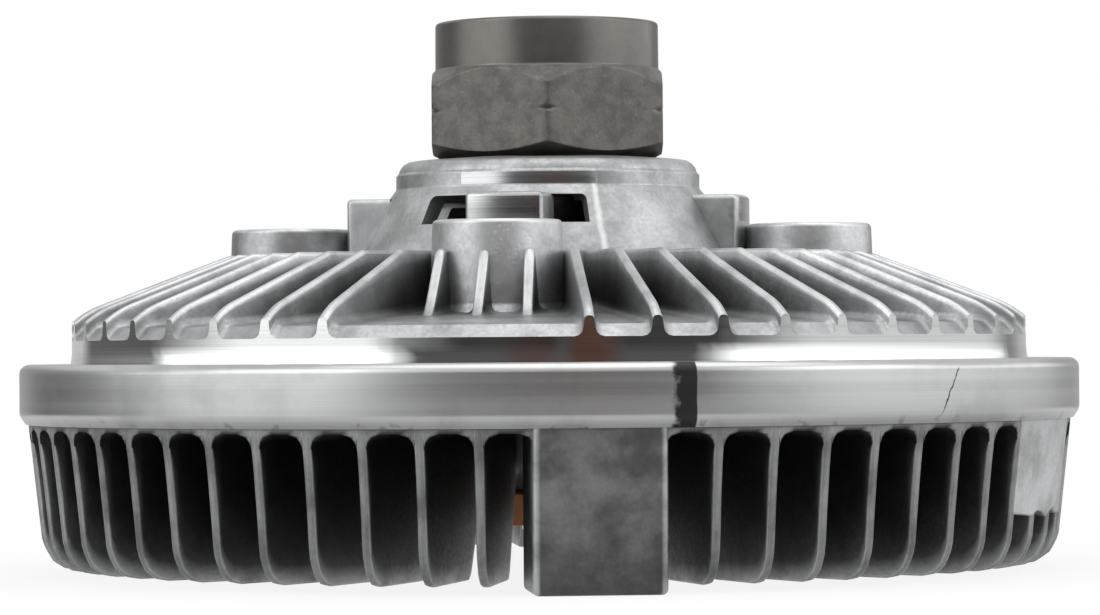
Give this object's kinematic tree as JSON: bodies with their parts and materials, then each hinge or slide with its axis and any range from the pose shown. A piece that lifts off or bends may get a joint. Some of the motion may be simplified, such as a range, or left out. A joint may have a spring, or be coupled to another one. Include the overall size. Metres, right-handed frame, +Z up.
{
  "type": "viscous fan clutch",
  "caption": "Viscous fan clutch with finned cast housing and cover, thermostatic coil and hex drive nut; carries an engine's cooling fan on its shaft.",
  "frame": {"origin": "On the shaft's axis, in the plane of the three standing pads under the cover.", "axes": "+Z runs up along the shaft to the drive nut; X and Y lie in the plane of the pads."},
  "size_m": [0.166, 0.166, 0.0859],
  "materials": {
    "housing": "cast aluminium, fine mottled grain, rim and pilot surfaces turned bright",
    "cover": "darker cast aluminium with light worn fin edges and a satin turned ring",
    "shaft": "dark forged and phosphated steel, turned barrel",
    "coil": "brown copper-like bimetal strip",
    "bearing_steel": "bright ground bearing steel",
    "spring_steel": "black spring steel",
    "rotor": "turned aluminium",
    "plate": "zinc-plated sheet steel",
    "fastener": "zinc-plated steel",
    "seal_rubber": "black rubber",
    "wiper": "moulded plastic"
  },
  "bodies": {
    "casing": {"housing": "housing", "cover": "cover", "bearing_outer_race": "bearing_steel", "bearing_seal_upper": "seal_rubber", "bearing_seal_lower": "seal_rubber", "bearing_retaining_ring": "spring_steel", "pump_plate": "plate", "pump_plate_screws": "fastener", "fluid_wiper": "wiper", "rim_o_ring": "seal_rubber", "bimetal_coil": "coil", "coil_anchor": "fastener", "fill_plug": "fastener"},
    "drive": {"drive_shaft": "shaft", "bearing_inner_race": "bearing_steel", "rotor": "rotor", "rotor_circlip": "spring_steel", "rotor_spacer": "bearing_steel"},
    "ball_cage": {"bearing_balls": "bearing_steel", "bearing_cage": "plate"},
    "valve": {"valve_shaft": "bearing_steel", "valve_arm": "plate", "valve_shaft_o_ring": "seal_rubber", "valve_clip": "spring_steel"}
  },
  "joints": [
    {"name": "drive_turn", "type": "hinge", "parent": "casing", "child": "drive", "pos_m": [0, 0, 0.0436], "axis": [0, 0, 1], "continuous": true},
    {"name": "cage_turn", "type": "hinge", "parent": "casing", "child": "ball_cage", "pos_m": [0, 0, 0.0436], "axis": [0, 0, 1], "continuous": true},
    {"name": "valve_turn", "type": "hinge", "parent": "casing", "child": "valve", "pos_m": [0, 0, 0.018], "axis": [0, 0, 1], "range_deg": [0, 35], "stiffness_Nm_per_rad": 0.02, "deforming": ["bimetal_coil"]}
  ],
  "couplings": [
    {"joint": "cage_turn", "follows": "drive_turn", "ratio": 0.3818}
  ]
}
